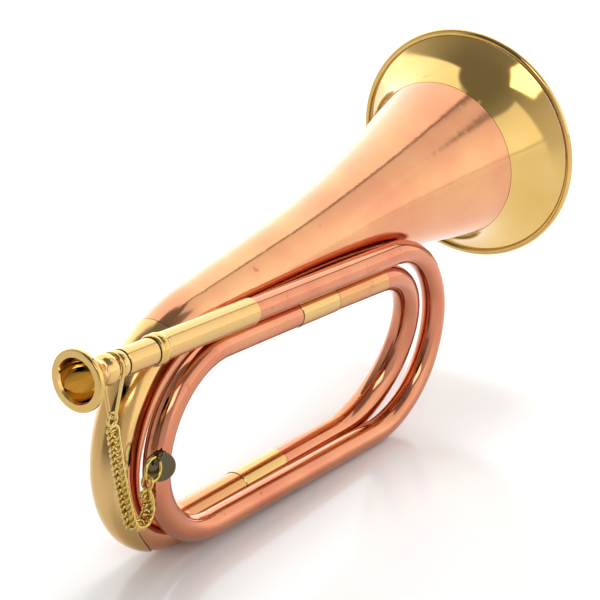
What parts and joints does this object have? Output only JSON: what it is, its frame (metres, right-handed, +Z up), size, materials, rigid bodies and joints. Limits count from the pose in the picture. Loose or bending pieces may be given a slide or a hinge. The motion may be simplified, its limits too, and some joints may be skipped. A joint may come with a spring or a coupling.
{
  "type": "bugle",
  "caption": "Twice-wound copper and brass bugle with a flared bell, a pull-out mouthpiece and a curb chain from the mouthpiece's neck loop to an eyelet on the coil",
  "frame": {"origin": "centre of the bounding box, on the surface that the bugle stands on", "axes": "+X from the mouthpiece to the bell, +Y to the left of a player who looks along +X, +Z up"},
  "size_m": [0.3574, 0.1262, 0.1852],
  "materials": {
    "copper": "polished copper",
    "brass": "polished brass",
    "brass_dull": "brass worn dull",
    "dark_brass": "brass tarnished dark",
    "chain_brass": "bright brass chain"
  },
  "bodies": {
    "root": {"receiver": "brass_dull", "receiver_collar": "brass", "receiver_sleeve": "brass_dull", "leadpipe": "copper", "front_far_bend": "copper", "front_bottom_run": "copper", "near_bend": "copper", "upper_run": "copper", "upper_ferrule": "brass", "upper_tail": "copper", "rear_far_bend": "copper", "rear_bottom_run": "copper", "lower_ferrule": "brass", "bow_tail": "copper", "bow": "copper", "bow_guard": "brass_dull", "bell_flare": "copper", "bell_garland": "brass", "rim_roll": "brass", "eyelet_foot": "dark_brass", "eyelet_disc": "dark_brass", "eyelet_staple": "dark_brass", "eyelet_ring": "chain_brass", "chain_end_link": "chain_brass", "chain": "chain_brass"},
    "loop": {"neck_loop": "brass", "chain_top_link": "chain_brass"},
    "mouthpiece": {"mouthpiece": "brass"}
  },
  "joints": [
    {"name": "mouthpiece_draw", "type": "slide", "parent": "root", "child": "loop", "axis": [-0.9982, 0, 0.0595], "range_m": [0, 0.0215]},
    {"name": "mouthpiece_turn", "type": "hinge", "parent": "loop", "child": "mouthpiece", "pos_m": [-0.15797, -0.03093, 0.11373], "axis": [0.9982, 0, -0.0595], "continuous": true}
  ]
}
